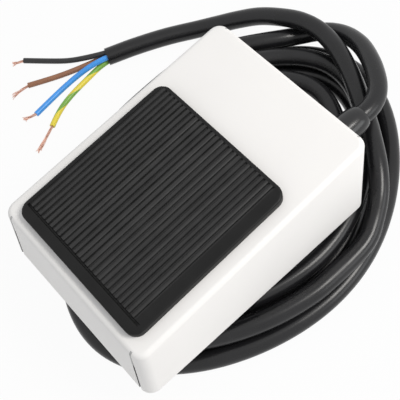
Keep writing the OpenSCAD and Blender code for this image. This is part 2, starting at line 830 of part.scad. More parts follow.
module cord_clamp() {
    color(case_colour) placed() clamp_half(cord_z + clamp_split, cord_z + clamp_h);
}

module clamp_screws() {
    head_z = cord_z + clamp_h + joint_gap;
    color(zinc) placed() clamp_screw_places() difference() {
        union() {
            rod_z(clamp_screw_end, head_z, 0, 0, screw_r);
            rod_z(head_z, head_z + head_t, 0, 0, head_r - joint_gap);
        }
        box(-head_r - over, head_r + over, -drive_w / 2, drive_w / 2, head_z + head_t - drive_d,
            head_z + head_t + over);
    }
}

module earth_screw() {
    head_z = base_top + tag_t + 2 * joint_gap;
    color(zinc) placed() difference() {
        union() {
            rod_z(foot_h - joint_gap, head_z, earth_x, earth_y, earth_r);
            rod_z(head_z, head_z + earth_head_t, earth_x, earth_y, earth_head_r);
        }
        box(earth_x - earth_head_r - over, earth_x + earth_head_r + over, earth_y - drive_w / 2,
            earth_y + drive_w / 2, head_z + earth_head_t - drive_d, head_z + earth_head_t + over);
    }
}

// Ring tag under the earth screw, with the barrel that grips the green lead
module earth_tag() {
    tag_z = base_top + joint_gap;
    color(brass) placed() difference() {
        union() {
            rod_z(tag_z, tag_z + tag_t, earth_x, earth_y, tag_r);
            box(earth_x - barrel_r, earth_x + barrel_r, earth_y, barrel_y + joint_gap, tag_z, tag_z + tag_t);
            rod_y(barrel_y, barrel_y + barrel_l, earth_x, tag_end[2], barrel_r);
        }
        rod_z(tag_z - over, tag_z + tag_t + over, earth_x, earth_y, earth_r + joint_gap);
        box(earth_x - tag_r, earth_x + tag_r, earth_y, barrel_y + barrel_l + over, tag_z - over, tag_z);
    }
}

// Insulated leads from the cord's end to the switch and the earth tag
module inner_lead(tint, path) {
    color(tint) placed() swept_tube(path, core_r, core_sides, base_top);
}

module inner_lead_black() {
    inner_lead("Black", inner_path(-1, 1, terminal_end(terminal_gap), black_shares));
}

module inner_lead_blue() {
    inner_lead("RoyalBlue", inner_path(-1, -1, terminal_end(0), blue_shares));
}

module inner_lead_brown() {
    inner_lead("SaddleBrown", inner_path(1, 1, terminal_end(-terminal_gap), brown_shares));
}

module inner_lead_green() {
    path = inner_path(1, -1, tag_end + [0, core_run, 0], green_shares);
    inner_lead("YellowGreen", concat(path, [tag_end]));
}

// Sheathed cord inside the strain relief and the clamp
module cord_inner() {
    color(flex) placed() rod_y(sheath_end, boot_end, cord_x, cord_z, cord_r);
}

module cord_lead() {
    color(flex) placed() swept_tube(lead_path, cord_r, cord_sides, floor_z);
}

module cord_coil() {
    color(flex) placed() swept_tube(coil_path, cord_r, coil_sides, floor_z);
}

module cord_tail() {
    color(flex) placed() swept_tube(tail_path, cord_r, cord_sides, floor_z);
}

// Cores fanned out from the cut end of the cord, each with bare copper at its tip
module core(tint, path) {
    color(tint) placed() swept_tube(path, core_r, core_sides, floor_z);
}

module bare_copper(path, tip) {
    end = last(path);
    stub = end + copper_r * dir_at(path, len(path) - 1);
    color(copper) placed() swept_tube([end, stub, tip], copper_r, core_sides, floor_z);
}

module core_black() {
    core("Black", black_path);
}

module core_brown() {
    core("SaddleBrown", brown_path);
}

module core_blue() {
    core("RoyalBlue", blue_path);
}

module core_green_yellow() {
    core("YellowGreen", green_path);
}

module copper_black() {
    bare_copper(black_path, [-120, -1.3, -14.5]);
}

module copper_brown() {
    bare_copper(brown_path, [-106, -11.2, -14.5]);
}

module copper_blue() {
    bare_copper(blue_path, [-93, -14.3, -14.5]);
}

module copper_green_yellow() {
    bare_copper(green_path, [-75.8, -19.5, -14.5]);
}

pedal_cover();
tread_mat();
hinge_lugs();
hinge_bushes();
spring_cups();
actuator_post();
catch_lip();
base_plate();
stop_hook();
hinge_pins();
pin_clips();
stop_buffers();
return_spring_left();
return_spring_right();
rubber_feet();
switch_bracket();
bracket_rivets();
switch_case();
switch_lid();
switch_plunger();
switch_lever();
lever_pin();
contact_blade();
switch_terminals();
switch_screws();
switch_nuts();
strain_relief();
clamp_block();
cord_clamp();
clamp_screws();
earth_screw();
earth_tag();
inner_lead_black();
inner_lead_brown();
inner_lead_blue();
inner_lead_green();
cord_inner();
cord_lead();
cord_coil();
cord_tail();
core_black();
core_brown();
core_blue();
core_green_yellow();
copper_black();
copper_brown();
copper_blue();
copper_green_yellow();
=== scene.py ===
import bmesh
import bpy
import json
import math
import random
from mathutils import Matrix, Vector


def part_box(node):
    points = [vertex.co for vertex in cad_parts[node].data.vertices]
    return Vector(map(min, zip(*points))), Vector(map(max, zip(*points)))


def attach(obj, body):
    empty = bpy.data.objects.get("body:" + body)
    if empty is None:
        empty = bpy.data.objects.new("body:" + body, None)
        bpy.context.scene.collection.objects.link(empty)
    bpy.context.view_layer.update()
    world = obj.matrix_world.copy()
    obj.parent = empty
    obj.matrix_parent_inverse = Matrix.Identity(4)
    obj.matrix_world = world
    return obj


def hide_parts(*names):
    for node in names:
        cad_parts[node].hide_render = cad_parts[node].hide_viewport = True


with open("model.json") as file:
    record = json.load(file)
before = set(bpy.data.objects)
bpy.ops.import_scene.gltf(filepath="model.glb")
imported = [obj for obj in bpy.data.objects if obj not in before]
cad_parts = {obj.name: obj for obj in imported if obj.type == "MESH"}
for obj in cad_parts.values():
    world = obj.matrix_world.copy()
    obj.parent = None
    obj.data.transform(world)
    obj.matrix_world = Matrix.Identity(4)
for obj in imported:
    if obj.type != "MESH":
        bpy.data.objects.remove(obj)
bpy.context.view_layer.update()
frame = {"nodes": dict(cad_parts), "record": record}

# The part's source counts millimetres from the underside of the feet
MM = 0.001
feet_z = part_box("rubber_feet")[0][2]


def at(p):
    """Point in the row frame, in metres, from one of the source's."""
    return Vector((p[0] * MM, p[1] * MM, p[2] * MM + feet_z))


# Camera, fitted to the cover's corners and the flex in the photograph
PHOTO_SIDE = 400
FOCAL_PX = 829.14
AXIS_PX = (215, 165)
CAM_PLACE = (115.035, -62.197, 272.805)
CAM_RIGHT = Vector((0.66989, 0.737837, -0.082727))
CAM_DOWN = Vector((0.619599, -0.616948, -0.485256))
CAM_AHEAD = Vector((-0.409077, 0.273811, -0.87045))

lens = bpy.data.cameras.new("camera")
lens.sensor_width = 36
lens.lens = FOCAL_PX / PHOTO_SIDE * lens.sensor_width
lens.shift_x = 0.5 - AXIS_PX[0] / PHOTO_SIDE
lens.shift_y = AXIS_PX[1] / PHOTO_SIDE - 0.5
lens.clip_start = 0.01
camera = bpy.data.objects.new("camera", lens)
bpy.context.collection.objects.link(camera)
turn = Matrix((CAM_RIGHT, -CAM_DOWN, -CAM_AHEAD)).transposed().to_4x4()
camera.matrix_world = Matrix.Translation(at(CAM_PLACE)) @ turn
bpy.context.scene.camera = camera

# Body sizes, as in the part's source
BODY_W, BODY_L, FRONT_H, BACK_H = 76, 102, 31.5, 42.5
BEND_R, SHEET, SKIRT = 4.5, 1.5, 4
SEAM_IN, SEAM_W, SEAM_TOP = 4.7, 0.9, 22.5
TILT = math.atan((BACK_H - FRONT_H) / BODY_L)
MAT_W, MAT_L, MAT_T, MAT_R, MAT_FRONT = 60.7, 64.9, 3, 4.2, 6.4
BORDER_FRONT, BORDER_THIN, BORDER_RIGHT = 3.7, 1.3, 2.6
RIB_PITCH, GROOVE_W, GROOVE_D = 2.08, 0.95, 1
GAP = 0.05
CORD_X, CORD_Z, NOTCH_R = 16, 14, 7.2
BASE_BACK, BASE_T = 46, 1.5
FLANGE_R, FLANGE_T, HOLE_R = 7.2, 2.2, 6
BOOT_R, SHOULDER_R, TIP_R, BOOT_END, BOOT_NOSE = 6.3, 5.6, 4.6, 71, 4
# Only here, because the source's walls are straight: radius of the cover's top edge,
# and how far its front and side walls lean in at the top
EDGE_R, LEAN_FRONT, LEAN_SIDE = 1.9, 3, 2.2

# Flex route, as in the part's source, except that the lower layer is round underneath
# and lies that much higher, where the source cuts it flat at the floor
CORD_R = 3.8
FLOOR = -15.54
LOOP_R, LOOP_STEP, FAN = 59, 8.7, 0.1
CENTRE_X, CENTRE_Y, STRETCH_Y, LEAN_X = -4.2, 26.6, 20, 7
TURNS, TURNS_IN, CLIMB_HALF = 6.5, 3.667, 0.25
INNER_ROUND = 0.6
UPPER_Z = -4.1
LOWER_Z = FLOOR + CORD_R + 0.02
PER_TURN = 90
LEAD = [(14.6, 79.9, 13.5), (11.2, 85.1, 12.5), (5.4, 90.4, 10.8), (-2.2, 95.6, 8.3),
        (-10.8, 99.9, 4.9), (-19.4, 101.9, 0.9), (-26.7, 101.3, -2.6), (-32.4, 98, -5),
        (-36.4, 92.6, -5.6), (-40, 85.8, -4.7), (-44.9, 78.2, -4.4), (-50, 70.4, -4.6),
        (-55, 62, -5.4), (-59.6, 53, -7.8), (-62.7, 44, -10.4)]
TAIL = [(46.6, 42, -4), (43.2, 50, -2.8), (37.6, 58.4, 0.8), (30.6, 65, 3.4), (23, 70.6, 4.5),
        (16, 75.4, 4.8), (8.9, 79.8, 4.8), (1.6, 84.2, 4.8), (-6.8, 88.4, 4.9), (-16.6, 92.2, 4.8),
        (-27, 94, 4.4), (-36.6, 93, 3.2), (-46, 90, 0.4), (-54.6, 86, -2.9), (-62, 80.4, -6.5),
        (-68.6, 74, -9.8), (-74, 67.2, -11.6), (-80.6, 55.4, -11.6), (-86.6, 42, -11.6),
        (-91, 30, -11.6)]
# Spacing of the drawn route, its start inside the strain relief,
# and the coil's points that its lead and tail take the place of
ROUTE_STEP, START_IN, COIL_ENDS = 2.2, 0.4, 2
CORD_STEPS = 7


def ease(t):
    """0 to 1, slow at both ends."""
    t = min(max(t, 0), 1)
    return t * t * (3 - 2 * t)


def coil_point(t):
    """Centre of the flex after t loops."""
    a = math.radians(180 + 360 * t)
    s = math.sin(a)
    wound = t if t < TURNS_IN else 2 * TURNS_IN - t
    r = LOOP_R - wound * LOOP_STEP * (1 + FAN * max(0, s) ** 2)
    oval = (s + s ** 3) / 2 * (1 - INNER_ROUND * (wound / TURNS_IN) ** 3)
    climb = ease((t - TURNS_IN + CLIMB_HALF) / (2 * CLIMB_HALF))
    return (CENTRE_X + r * math.cos(a) - LEAN_X * oval, CENTRE_Y + r * s + STRETCH_Y * oval,
            LOWER_Z + (UPPER_Z - LOWER_Z) * climb)


def smooth(points, step):
    """Points about step apart on a smooth curve through the given ones."""
    p = [Vector(q) for q in points]
    p = [2 * p[0] - p[1]] + p + [2 * p[-1] - p[-2]]
    out = []
    for a, b, c, d in zip(p, p[1:], p[2:], p[3:]):
        ta, tb, tc = (math.sqrt((v - u).length) for u, v in ((a, b), (b, c), (c, d)))
        m1 = ((b - a) / ta - (c - a) / (ta + tb) + (c - b) / tb) * tb
        m2 = ((c - b) / tb - (d - b) / (tb + tc) + (d - c) / tc) * tb
        n = max(1, round((c - b).length / step))
        for i in range(n):
            t = i / n
            out.append((2 * t**3 - 3 * t**2 + 1) * b + (t**3 - 2 * t**2 + t) * m1
                       + (3 * t**2 - 2 * t**3) * c + (t**3 - t**2) * m2)
    return out + [p[-2]]


loops = [coil_point(i / PER_TURN) for i in range(round(TURNS * PER_TURN) + 1)]
route = [(CORD_X, BOOT_END - START_IN, CORD_Z), (CORD_X, BOOT_END + CORD_R, CORD_Z)]
route += LEAD + loops[COIL_ENDS:-COIL_ENDS] + TAIL
flex_line = smooth(route, ROUTE_STEP)


def link(obj):
    """Puts an object in the scene."""
    bpy.context.collection.objects.link(obj)
    return obj


curve = bpy.data.curves.new("flex", "CURVE")
curve.dimensions = "3D"
line = curve.splines.new("POLY")
line.points.add(len(flex_line) - 1)
for knot, p in zip(line.points, flex_line):
    knot.co = (*at(p), 1)
curve.bevel_depth = CORD_R * MM
curve.bevel_resolution = CORD_STEPS
curve.use_fill_caps = True
flex = link(bpy.data.objects.new("flex", curve))


# Mesh helpers
SHARP = math.radians(38)
SAME_SPOT, NO_LENGTH = 1e-6, 1e-7


def made(name, bm, body, nodes=(), mats=(), sharp=SHARP):
    """Object from a bmesh, on its body, in place of its CAD nodes."""
    bmesh.ops.remove_doubles(bm, verts=bm.verts, dist=SAME_SPOT)
    bmesh.ops.dissolve_degenerate(bm, edges=bm.edges, dist=NO_LENGTH)
    bmesh.ops.recalc_face_normals(bm, faces=bm.faces)
    for f in bm.faces:
        f.smooth = True
    for e in bm.edges:
        e.smooth = len(e.link_faces) == 2 and e.calc_face_angle(0) < sharp
    mesh = bpy.data.meshes.new(name)
    bm.to_mesh(mesh)
    bm.free()
    obj = link(bpy.data.objects.new(name, mesh))
    for m in mats:
        mesh.materials.append(m)
    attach(obj, body)
    if nodes:
        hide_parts(*nodes)
    return obj


def rings(line_points, radius, sides, twist=0):
    """Rings of points round a line, in millimetres.
    radius is a number or a function of the share of the line."""
    p = [Vector(q) for q in line_points]
    ways = [(b - a).normalized() for a, b in zip(p, p[1:])]
    ways = [ways[0]] + [(a + b).normalized() for a, b in zip(ways, ways[1:])] + [ways[-1]]
    side = ways[0].orthogonal().normalized()
    out, gone = [], 0
    for i, (q, w) in enumerate(zip(p, ways)):
        side = (side - w * side.dot(w)).normalized()
        up = w.cross(side)
        gone += (q - p[i - 1]).length if i else 0
        r = radius(i / (len(p) - 1)) if callable(radius) else radius
        turned = twist * gone
        out.append([q + r * (math.cos(a) * side + math.sin(a) * up)
                    for a in (turned + 2 * math.pi * k / sides for k in range(sides))])
    return out


def add_tube(bm, line_points, radius, sides, twist=0, paint=None):
    """Closed tube round a line.
    paint gives a face's material from its place round the tube."""
    hoops = [[bm.verts.new(at(v)) for v in ring]
             for ring in rings(line_points, radius, sides, twist)]
    for a, b in zip(hoops, hoops[1:]):
        for k in range(sides):
            n = (k + 1) % sides
            face = bm.faces.new((a[k], a[n], b[n], b[k]))
            face.material_index = paint(k / sides) if paint else 0
    bm.faces.new(hoops[0][::-1])
    bm.faces.new(hoops[-1])


# Materials
NOISE_LOW, NOISE_HIGH = 0.3, 0.7
COLOUR_DETAIL, WEAR_DETAIL, GRAIN_DETAIL = 4, 3, 5


def material(name, colour, rough, metal=0.0, grain=(900, 0.1, 0.05), mottle=(60, 0.06),
             worn=(25, 0.05), specular=0.5, stretch=None):
    """Procedural finish: mottled colour, uneven roughness and a fine grain in the surface.
    grain is scale, strength and depth in millimetres; mottle and worn are scale and amount.
    stretch scales the noise along x, y and z."""
    mat = bpy.data.materials.new(name)
    mat.use_nodes = True
    nodes, links = mat.node_tree.nodes, mat.node_tree.links
    skin = nodes["Principled BSDF"]
    skin.inputs["Metallic"].default_value = metal
    skin.inputs["Specular IOR Level"].default_value = specular
    place = nodes.new("ShaderNodeTexCoord").outputs["Object"]
    if stretch:
        scaled = nodes.new("ShaderNodeMapping")
        scaled.inputs["Scale"].default_value = stretch
        links.new(place, scaled.inputs["Vector"])
        place = scaled.outputs["Vector"]

    def noise(scale, detail):
        n = nodes.new("ShaderNodeTexNoise")
        n.inputs["Scale"].default_value = scale
        n.inputs["Detail"].default_value = detail
        links.new(place, n.inputs["Vector"])
        return n.outputs["Fac"]

    def spread(source, low, high):
        m = nodes.new("ShaderNodeMapRange")
        m.inputs["From Min"].default_value = NOISE_LOW
        m.inputs["From Max"].default_value = NOISE_HIGH
        m.inputs["To Min"].default_value = low
        m.inputs["To Max"].default_value = high
        links.new(source, m.inputs["Value"])
        return m.outputs["Result"]

    mix = nodes.new("ShaderNodeMix")
    mix.data_type = "RGBA"
    dark = [c * (1 - mottle[1]) for c in colour]
    light = [min(1, c * (1 + mottle[1])) for c in colour]
    mix.inputs["A"].default_value = (*dark, 1)
    mix.inputs["B"].default_value = (*light, 1)
    links.new(spread(noise(mottle[0], COLOUR_DETAIL), 0, 1), mix.inputs["Factor"])
    links.new(mix.outputs["Result"], skin.inputs["Base Color"])
    links.new(spread(noise(worn[0], WEAR_DETAIL), rough - worn[1], rough + worn[1]),
              skin.inputs["Roughness"])
    bump = nodes.new("ShaderNodeBump")
    bump.inputs["Strength"].default_value = grain[1]
    bump.inputs["Distance"].default_value = grain[2] * MM
    links.new(noise(grain[0], GRAIN_DETAIL), bump.inputs["Height"])
    links.new(bump.outputs["Normal"], skin.inputs["Normal"])
    return mat


MATS = {
    "cover_paint": material("powder_coat", (0.875, 0.858, 0.836), 0.46, grain=(1400, 0.22, 0.05),
                            mottle=(35, 0.012), worn=(30, 0.05), specular=0.4),
    "mat_rubber": material("mat_rubber", (0.019, 0.019, 0.019), 0.5, grain=(2600, 0.3, 0.05),
                           mottle=(180, 0.22), worn=(60, 0.08), specular=0.35),
    "zinc_steel": material("zinc_plate", (0.66, 0.67, 0.68), 0.3, metal=1.0,
                           grain=(1200, 0.06, 0.03), mottle=(90, 0.08), worn=(40, 0.08),
                           stretch=(1, 0.12, 1)),
    "spring_steel": material("spring_wire", (0.52, 0.52, 0.53), 0.26, metal=1.0,
                             grain=(2500, 0.08, 0.03), mottle=(120, 0.08)),
    "bush_brass": material("turned_brass", (0.72, 0.54, 0.24), 0.24, metal=1.0,
                           grain=(2200, 0.08, 0.03), mottle=(90, 0.08), stretch=(8, 1, 1)),
    "foot_rubber": material("foot_rubber", (0.018, 0.018, 0.018), 0.68, grain=(1800, 0.3, 0.06),
                            mottle=(120, 0.2), specular=0.35),
    "case_plastic": material("case_plastic", (0.022, 0.022, 0.024), 0.45, grain=(2200, 0.25, 0.05),
                             mottle=(80, 0.12)),
    "plunger_plastic": material("plunger_plastic", (0.42, 0.04, 0.03), 0.3,
                                grain=(1500, 0.05, 0.03), mottle=(80, 0.08)),
    "contact_brass": material("rolled_brass", (0.74, 0.58, 0.28), 0.28, metal=1.0,
                              grain=(1600, 0.08, 0.03), mottle=(100, 0.1), stretch=(1, 0.2, 1)),
    "relief_plastic": material("relief_plastic", (0.010, 0.010, 0.011), 0.2,
                               grain=(900, 0.04, 0.03), mottle=(80, 0.12), worn=(120, 0.05)),
    "cord_pvc": material("flex_pvc", (0.0105, 0.0105, 0.0115), 0.27, grain=(1100, 0.12, 0.05),
                         mottle=(70, 0.18), worn=(90, 0.05), specular=0.36),
    "core_black_pvc": material("core_black", (0.016, 0.016, 0.017), 0.36, grain=(1800, 0.12, 0.03),
                               mottle=(200, 0.15)),
    "core_brown_pvc": material("core_brown", (0.30, 0.135, 0.07), 0.36, grain=(1800, 0.12, 0.03),
                               mottle=(200, 0.1)),
    "core_blue_pvc": material("core_blue", (0.06, 0.33, 0.85), 0.36, grain=(1800, 0.12, 0.03),
                              mottle=(200, 0.1)),
    "core_green_yellow_pvc": material("core_yellow", (0.80, 0.66, 0.06), 0.36,
                                      grain=(1800, 0.12, 0.03), mottle=(200, 0.08)),
    "bare_copper": material("copper_strands", (0.72, 0.45, 0.36), 0.34, metal=1.0,
                            grain=(3000, 0.1, 0.02), mottle=(400, 0.15)),
}
mat_smooth = material("mat_smooth", (0.008, 0.008, 0.008), 0.42, grain=(2200, 0.2, 0.04),
                      mottle=(150, 0.2), specular=0.2)
# Dark grey on the side walls of the seams' slots: painted shade inside the narrow slots
painted_slot_shade = material("painted_slot_shade", (0.16, 0.158, 0.155), 0.7, grain=(1500, 0.3, 0.05),
                      mottle=(300, 0.2))
# Mid-grey line up the closed part of each seam: painted shade of the seam's gap
painted_gap_shade = material("painted_gap_shade", (0.46, 0.455, 0.45), 0.6, grain=(1500, 0.3, 0.05),
                     mottle=(300, 0.1))
core_green = material("core_green", (0.20, 0.42, 0.06), 0.36, grain=(1800, 0.12, 0.03),
                      mottle=(200, 0.1))
core_inside = material("sheath_filling", (0.030, 0.029, 0.028), 0.8, grain=(1500, 0.4, 0.15),
                       mottle=(700, 0.4))

slot_of = {s["node"]: s["material_slot"] for s in frame["record"]["subparts"]}
for node, obj in frame["nodes"].items():
    obj.data.materials.clear()
    obj.data.materials.append(MATS[slot_of[node]])

curve.materials.append(MATS["cord_pvc"])
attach(flex, "base")
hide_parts("cord_lead", "cord_coil", "cord_tail")


# Strain relief, turned about the flex
def turned(name, profile, x, z, sides, body, slot_name, nodes, mat):
    """Closed ring turned about a line along Y through x, z. profile gives y and radius."""
    bm = bmesh.new()
    hoops = [[bm.verts.new(at((x + r * math.cos(a), y, z + r * math.sin(a))))
              for a in (2 * math.pi * k / sides for k in range(sides))] for y, r in profile]
    for a, b in zip(hoops, hoops[1:] + hoops[:1]):
        for k in range(sides):
            n = (k + 1) % sides
            bm.faces.new((a[k], a[n], b[n], b[k]))
    return made(name, bm, body, nodes, [mat])


def arc(cy, cr, r, start, end, steps):
    """Points of y and radius on an arc, angles in degrees from +Y."""
    return [(cy + r * math.cos(math.radians(a)), cr + r * math.sin(math.radians(a)))
            for a in (start + (end - start) * i / steps for i in range(steps + 1))]


RIM, NOSE, CHAMFER, MOUTH = 0.6, 1.3, 0.2, 0.3
RIM_STEPS, NOSE_STEPS, BOOT_STEPS, BOOT_SIDES = 5, 4, 8, 64
# Steps along and out from the boot's root, then along from its shoulder and the radius there
ROOT_FILLET = [(0, 0.4), (0.1, 0.15), (0.4, 0)]
SHOULDER_FILLET = [(1.2, SHOULDER_R - 0.28), (2.4, TIP_R + 0.42)]
BOOT_START, NOSE_IN, NOSE_OUT = 0.4, 0.25, 0.05
inner_face = BASE_BACK - BASE_T - GAP
outer_face = BASE_BACK + GAP
outer_flange = outer_face + FLANGE_T
bore = CORD_R + GAP
neck = HOLE_R - GAP
relief_line = arc(inner_face - FLANGE_T + RIM, FLANGE_R - RIM, RIM, 180, 90, RIM_STEPS)
relief_line += [(inner_face, FLANGE_R), (inner_face, neck), (outer_face, neck),
                (outer_face, FLANGE_R - CHAMFER), (outer_face + CHAMFER, FLANGE_R)]
relief_line += arc(outer_flange - RIM, FLANGE_R - RIM, RIM, 90, 0, RIM_STEPS)
relief_line += [(outer_flange + along, BOOT_R + out) for along, out in ROOT_FILLET]
shoulder = BOOT_END - BOOT_NOSE
for i in range(1, BOOT_STEPS + 1):
    t = i / BOOT_STEPS
    relief_line.append((outer_flange + BOOT_START + (shoulder - 1 - outer_flange) * t,
                        BOOT_R + (SHOULDER_R - BOOT_R) * t))
relief_line += [(shoulder + along, r) for along, r in SHOULDER_FILLET]
relief_line += arc(BOOT_END - NOSE / 2, TIP_R - NOSE / 2 + NOSE_OUT, NOSE / 2, 60, 0, NOSE_STEPS)
relief_line += [(BOOT_END - NOSE_IN, bore), (inner_face - FLANGE_T + MOUTH, bore),
                (inner_face - FLANGE_T, bore + MOUTH)]
relief = turned("relief_boot", relief_line, CORD_X, CORD_Z, BOOT_SIDES, "base", "relief_plastic",
                ("strain_relief",), MATS["relief_plastic"])


# Stripped cores and their copper
CORE_R, COPPER_R, CORE_OFF = 1.2, 0.6, 1.3
CORE_IN, CORE_RUN, CORE_STEP, EASING_ROUNDS = 2, 3, 0.8, 60
CORE_SIDES, STRIPED_SIDES, STRAND_SIDES, FILLING_SIDES = 20, 24, 6, 28
cut_end = Vector(TAIL[-1])
cut_way = (cut_end - Vector(TAIL[-2])).normalized()
cut_side = Vector((cut_way.y, -cut_way.x, 0))
# Colour, side, up or down at the cut, path, and the copper's tip
CORES = [
    ("black", 1, 1, [(-97.5, 23, -11.4), (-101.5, 18.5, -13.2), (-108, 13, -14.2),
                     (-117.9, 3.7, -14.2)], (-120, -1.3, -14.5)),
    ("brown", 1, -1, [(-96, 20.5, -13.9), (-99, 12, -14.2), (-102.5, 4, -14.2),
                      (-105.7, -2.8, -14.2)], (-106, -11.2, -14.5)),
    ("blue", -1, 1, [(-92.9, 19.5, -12), (-93.8, 10, -14), (-92.6, 0, -14.2), (-91.2, -9, -14.2)],
     (-93, -14.3, -14.5)),
    ("green_yellow", -1, -1, [(-89.8, 20, -13.8), (-88.8, 10, -14.2), (-86, 0, -14.2),
                              (-81.5, -7.7, -14.2)], (-75.8, -19.5, -14.5)),
]
STRIPE_TWIST, STRIPE_SHARE = 0.3, 0.45
STRANDS, STRANDS_IN, STRAND_R, STRAND_STEPS = 16, 6, 0.11, 12
INNER_SHARE, OUTER_SHARE = 0.42, 0.8
STRAND_TWIST, STRAND_IN, STRAND_BOW, STRAND_LIFT = 3.2, 0.6, 0.35, 0.03
# How far a strand spreads from the others, bends aside, and its share of the full length
FRAY, FLARE, LONG = (0.15, 0.9), (-0.5, 0.6), (0.86, 1.02)
draw = random.Random(11)


def relaxed(points, rounds):
    """The line with its small bends eased, its ends and their directions kept."""
    for _ in range(rounds):
        eased = [(a + 2 * b + c) / 4 for a, b, c in zip(points[2:], points[3:-3], points[4:])]
        points = points[:3] + eased + points[-3:]
    return points


for tint, side, up, path, tip in CORES:
    start = cut_end + CORE_OFF * (side * cut_side + up * Vector((0, 0, 1)))
    core_ends = [start - CORE_IN * cut_way, start + CORE_RUN * cut_way]
    core_line = relaxed(smooth(core_ends + path, CORE_STEP), EASING_ROUNDS)
    bm = bmesh.new()
    if tint == "green_yellow":
        add_tube(bm, core_line, CORE_R, STRIPED_SIDES, STRIPE_TWIST,
                 lambda share: 1 if share < STRIPE_SHARE else 0)
        mats = [MATS["core_green_yellow_pvc"], core_green]
    else:
        add_tube(bm, core_line, CORE_R, CORE_SIDES)
        mats = [MATS["core_" + tint + "_pvc"]]
    made("wire_" + tint, bm, "base",
                            ("core_" + tint,), mats)

    end = Vector(path[-1])
    way = (end - core_line[-3]).normalized()
    across = way.orthogonal().normalized()
    over = way.cross(across)
    reach = Vector(tip) - end
    beside = Vector((reach.y, -reach.x, 0)).normalized()
    bm = bmesh.new()
    for i in range(STRANDS):
        # one strand in the middle, a ring round it and a ring outside
        ring_share = 0.0 if i == 0 else (INNER_SHARE if i < STRANDS_IN else OUTER_SHARE)
        a0 = draw.uniform(0, 2 * math.pi)
        fray = draw.uniform(*FRAY)
        flare = draw.uniform(*FLARE)
        long = draw.uniform(*LONG)
        strand = []
        for j in range(STRAND_STEPS + 1):
            t = j / STRAND_STEPS
            a = a0 + STRAND_TWIST * t
            out = COPPER_R * ring_share * (1 + fray * t ** 3)
            q = end - STRAND_IN * way * (1 - t) + reach * t * long
            q += way * reach.length * STRAND_BOW * t * (1 - t)
            q += out * (math.cos(a) * across + math.sin(a) * over) + flare * t ** 3 * beside
            q.z = max(q.z, FLOOR + STRAND_R + STRAND_LIFT)
            strand.append(q)
        add_tube(bm, strand, STRAND_R, STRAND_SIDES)
    made("strands_" + tint, bm, "base", ("copper_" + tint,),
                            [MATS["bare_copper"]])

# Rough filling that shows round the cores at the cut
FILLING_R, FILLING_DOME = 2.9, 0.5
FILLING_RUN = (-1.2, -0.1, 0.25, 0.4)
bm = bmesh.new()
rim_line = [cut_end + along * cut_way for along in FILLING_RUN]
add_tube(bm, rim_line, lambda t: FILLING_R - FILLING_DOME * t * t, FILLING_SIDES)
filling = made("sheath_filling", bm, "base", (), [core_inside])


# Cover: folded sheet with a sloping top
CORNER_STEPS, BEND_STEPS, NOTCH_STEP = 12, 10, 12
# Rows of the walls that the seams' slots cut, and rows above them where the seams are closed and a
# grey line paints in the shade of their gap
SLOT_ROWS, CLOSED_ROWS = 3, 8
# Material indices of the painted shade on the slots' walls and of the painted shade line on the
# closed seams
SLOT_SHADE, GAP_SHADE_LINE = 1, 2
# Tolerances, the first in metres
WELD, NEAR, SAME, SLOT_SLACK, FACING = 2e-6, 1e-4, 1e-6, 0.01, 0.9
# Drop of the free row of vertices below the slots' top, where it doesn't follow the notch
ROW_DROP = 2
EDGE_ROUND = 0.14


def top_z(y):
    """Height of the slope's plane."""
    return FRONT_H + (y + BODY_L / 2) * math.tan(TILT)


def leaned(v):
    """The front and sides lean in a little towards the top, which stays in its plane."""
    share = min(1, max(0, (v.z - SKIRT) / (top_z(v.y) - SKIRT)))
    y = v.y + LEAN_FRONT * share * (BODY_L / 2 - v.y) / BODY_L
    return Vector((v.x * (1 - LEAN_SIDE * share / (BODY_W / 2)), y,
                   v.z + share * (top_z(y) - top_z(v.y))))


def outline_columns(seam_low, seam_high):
    """Centre of the corner bend and outward way of each column of the walls,
    anticlockwise from the middle of the front."""
    half_x, half_y = BODY_W / 2 - BEND_R, BODY_L / 2 - BEND_R
    seam_turn = math.degrees(math.asin((seam_high - half_x) / BEND_R))
    corner = [seam_turn] + [seam_turn + (90 - seam_turn) * i / CORNER_STEPS
                            for i in range(1, CORNER_STEPS)]
    notch = [CORD_X + NOTCH_R * math.cos(math.radians(a)) for a in range(0, 181, NOTCH_STEP)]
    columns = []

    def face(xs, sign):
        columns.extend((x, sign * half_y, 0, sign) for x in xs)

    def side(ys, sign):
        columns.extend((sign * half_x, y, sign, 0) for y in ys)

    def bend(sx, sy, turns):
        columns.extend((sx * half_x, sy * half_y, sx * math.sin(math.radians(a)),
                        sy * math.cos(math.radians(a))) for a in turns)

    face([0, 10, 20, 30, seam_low, half_x], -1)
    bend(1, -1, corner)
    side([-half_y, -30, -10, 10, 30], 1)
    bend(1, 1, corner[::-1])
    face([half_x, seam_low, 28] + notch + [0, -10, -20, -30, -seam_low, -half_x], 1)
    bend(-1, 1, corner)
    side([half_y, 30, 10, -10, -30], -1)
    bend(-1, -1, corner[::-1])
    face([-half_x, -seam_low, -20, -10], -1)
    kept = []
    for c in columns:
        if not kept or max(abs(a - b) for a, b in zip(c, kept[-1])) > SAME:
            kept.append(c)
    return kept


